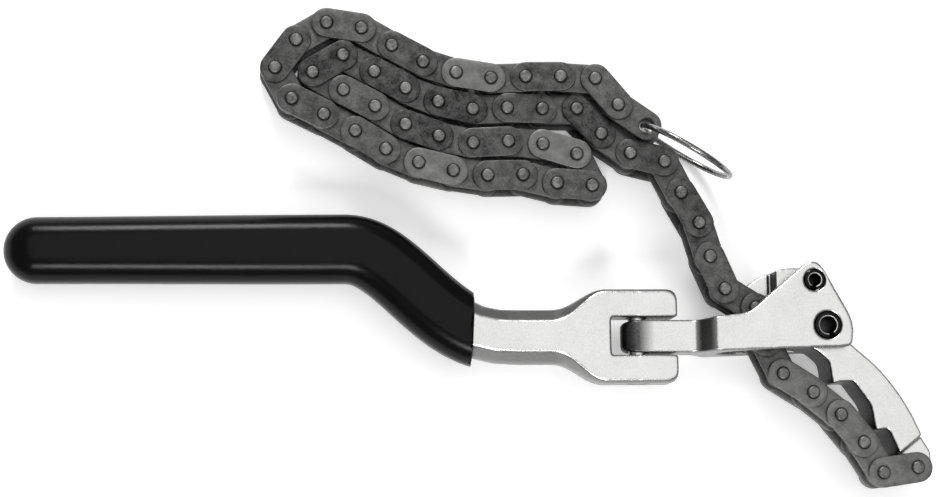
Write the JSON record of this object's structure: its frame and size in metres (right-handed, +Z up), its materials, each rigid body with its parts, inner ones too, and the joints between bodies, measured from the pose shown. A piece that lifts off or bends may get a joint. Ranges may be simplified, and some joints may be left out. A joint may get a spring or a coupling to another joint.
{
  "type": "chain wrench",
  "caption": "Chain wrench lying on its side: cranked dipped handle on a forked yoke, pivoting toothed jaw, and a roller chain folded up beside it with a wire pull ring.",
  "frame": {"origin": "middle of the bounding box in plan, on the bench the wrench lies on", "axes": "+X along the wrench from the grip to the jaw, +Y across it towards the folded chain, +Z up from the bench, along the pivot pin"},
  "size_m": [0.2464, 0.13, 0.0283],
  "materials": {
    "chromed_forging": "satin chrome over a fine cast texture",
    "chain_steel": "blackened steel, worn brighter on some plates",
    "blackened_spring_steel": "black oxide",
    "dipped_vinyl": "glossy black dip",
    "ring_wire": "bright wire"
  },
  "bodies": {
    "yoke": {"yoke": "chromed_forging", "pivot_spring_pin": "blackened_spring_steel", "stop_spring_pin": "blackened_spring_steel"},
    "jaw": {"jaw": "chromed_forging", "outer_link_01": "chain_steel", "inner_link_01": "chain_steel", "outer_link_02": "chain_steel", "inner_link_02": "chain_steel", "outer_link_03": "chain_steel", "inner_link_03": "chain_steel", "outer_link_04": "chain_steel"},
    "handle": {"handle_forging": "chromed_forging", "dipped_grip": "dipped_vinyl", "clevis_pin": "chromed_forging"},
    "span_link_8": {"inner_link_04": "chain_steel"},
    "span_link_9": {"outer_link_05": "chain_steel"},
    "span_link_10": {"inner_link_05": "chain_steel"},
    "span_link_11": {"outer_link_06": "chain_steel"},
    "coil": {"inner_link_06": "chain_steel", "outer_link_07": "chain_steel", "inner_link_07": "chain_steel", "outer_link_08": "chain_steel", "inner_link_08": "chain_steel", "outer_link_09": "chain_steel", "inner_link_09": "chain_steel", "outer_link_10": "chain_steel", "inner_link_10": "chain_steel", "outer_link_11": "chain_steel", "inner_link_11": "chain_steel", "outer_link_12": "chain_steel", "inner_link_12": "chain_steel", "outer_link_13": "chain_steel", "inner_link_13": "chain_steel", "outer_link_14": "chain_steel", "inner_link_14": "chain_steel", "outer_link_15": "chain_steel", "inner_link_15": "chain_steel", "outer_link_16": "chain_steel", "coil_turn_right": "chain_steel", "inner_link_17": "chain_steel", "outer_link_18": "chain_steel", "inner_link_18": "chain_steel", "outer_link_19": "chain_steel", "inner_link_19": "chain_steel", "outer_link_20": "chain_steel", "inner_link_20": "chain_steel", "outer_link_21": "chain_steel", "coil_turn_left": "chain_steel"},
    "tail_link_44": {"inner_link_22": "chain_steel"},
    "tail_link_45": {"outer_link_23": "chain_steel"},
    "tail_link_46": {"inner_link_23": "chain_steel"},
    "tail_link_47": {"outer_link_24": "chain_steel"},
    "tail_link_48": {"inner_link_24": "chain_steel"},
    "tail_link_49": {"outer_link_25": "chain_steel"},
    "tail_link_50": {"inner_link_25": "chain_steel"},
    "tail_link_51": {"outer_link_26": "chain_steel"},
    "tail_link_52": {"inner_link_26": "chain_steel"},
    "tail_link_53": {"outer_link_27": "chain_steel"},
    "tail_link_54": {"inner_link_27": "chain_steel"},
    "ring": {"pull_ring": "ring_wire"}
  },
  "joints": [
    {"name": "jaw_pivot", "type": "hinge", "parent": "yoke", "child": "jaw", "pos_m": [0.09443, -0.02194, 0.01031], "axis": [0, 0, 1], "range_deg": [-10, 1.5]},
    {"name": "handle_swivel", "type": "hinge", "parent": "yoke", "child": "handle", "pos_m": [0.04463, -0.02424, 0.01031], "axis": [0, 1, 0], "range_deg": [-100, 100]},
    {"name": "chain_pin_08", "type": "hinge", "parent": "jaw", "child": "span_link_8", "pos_m": [0.07612, -0.01678, 0.01031], "axis": [0, 0, 1], "range_deg": [-25, 4]},
    {"name": "chain_pin_09", "type": "hinge", "parent": "span_link_8", "child": "span_link_9", "pos_m": [0.06804, -0.01173, 0.01021], "axis": [-0.0232, 0.0162, 0.9996], "range_deg": [-25, 0]},
    {"name": "chain_pin_10", "type": "hinge", "parent": "span_link_9", "child": "span_link_10", "pos_m": [0.06432, -0.00297, 0.00998], "axis": [-0.0232, 0.0162, 0.9996], "range_deg": [-25, 0]},
    {"name": "chain_pin_11", "type": "hinge", "parent": "span_link_10", "child": "span_link_11", "pos_m": [0.06169, 0.00618, 0.00967], "axis": [-0.0438, 0.0306, 0.9986], "range_deg": [-25, 0]},
    {"name": "chain_pin_12", "type": "hinge", "parent": "span_link_11", "child": "coil", "pos_m": [0.05708, 0.0145, 0.00921], "axis": [-0.0438, 0.0306, 0.9986], "range_deg": [-25, 0]},
    {"name": "chain_pin_44", "type": "hinge", "parent": "coil", "child": "tail_link_44", "pos_m": [-0.04671, 0.05604, 0.00651], "axis": [0, 0, 1], "range_deg": [0, 25]},
    {"name": "chain_pin_45", "type": "hinge", "parent": "tail_link_44", "child": "tail_link_45", "pos_m": [-0.03854, 0.06095, 0.00651], "axis": [0, 0, 1], "range_deg": [0, 25]},
    {"name": "chain_pin_46", "type": "hinge", "parent": "tail_link_45", "child": "tail_link_46", "pos_m": [-0.02911, 0.05962, 0.00651], "axis": [0, 0, 1], "range_deg": [0, 25]},
    {"name": "chain_pin_47", "type": "hinge", "parent": "tail_link_46", "child": "tail_link_47", "pos_m": [-0.02086, 0.05486, 0.00657], "axis": [-0.0189, 0.0065, 0.9998], "range_deg": [0, 25]},
    {"name": "chain_pin_48", "type": "hinge", "parent": "tail_link_47", "child": "tail_link_48", "pos_m": [-0.01245, 0.05039, 0.00676], "axis": [-0.0189, 0.0065, 0.9998], "range_deg": [0, 25]},
    {"name": "chain_pin_49", "type": "hinge", "parent": "tail_link_48", "child": "tail_link_49", "pos_m": [-0.0034, 0.04745, 0.00707], "axis": [-0.0442, 0.0152, 0.9989], "range_deg": [0, 25]},
    {"name": "chain_pin_50", "type": "hinge", "parent": "tail_link_49", "child": "tail_link_50", "pos_m": [0.006, 0.04596, 0.00751], "axis": [-0.0442, 0.0152, 0.9989], "range_deg": [0, 25]},
    {"name": "chain_pin_51", "type": "hinge", "parent": "tail_link_50", "child": "tail_link_51", "pos_m": [0.0155, 0.04629, 0.00804], "axis": [-0.0683, 0.0235, 0.9974], "range_deg": [0, 25]},
    {"name": "chain_pin_52", "type": "hinge", "parent": "tail_link_51", "child": "tail_link_52", "pos_m": [0.02501, 0.04629, 0.0087], "axis": [-0.0683, 0.0235, 0.9974], "range_deg": [0, 25]},
    {"name": "chain_pin_53", "type": "hinge", "parent": "tail_link_52", "child": "tail_link_53", "pos_m": [0.03448, 0.04563, 0.00948], "axis": [-0.0918, 0.0316, 0.9953], "range_deg": [0, 25]},
    {"name": "chain_pin_54", "type": "hinge", "parent": "tail_link_53", "child": "tail_link_54", "pos_m": [0.04045, 0.03825, 0.01026], "axis": [-0.0918, 0.0316, 0.9953], "range_deg": [0, 25]},
    {"name": "ring_swing", "type": "hinge", "parent": "tail_link_54", "child": "ring", "pos_m": [0.04811, 0.03268, 0.01126], "axis": [-0.103, 0.0355, 0.994], "range_deg": [-5, 120]}
  ]
}
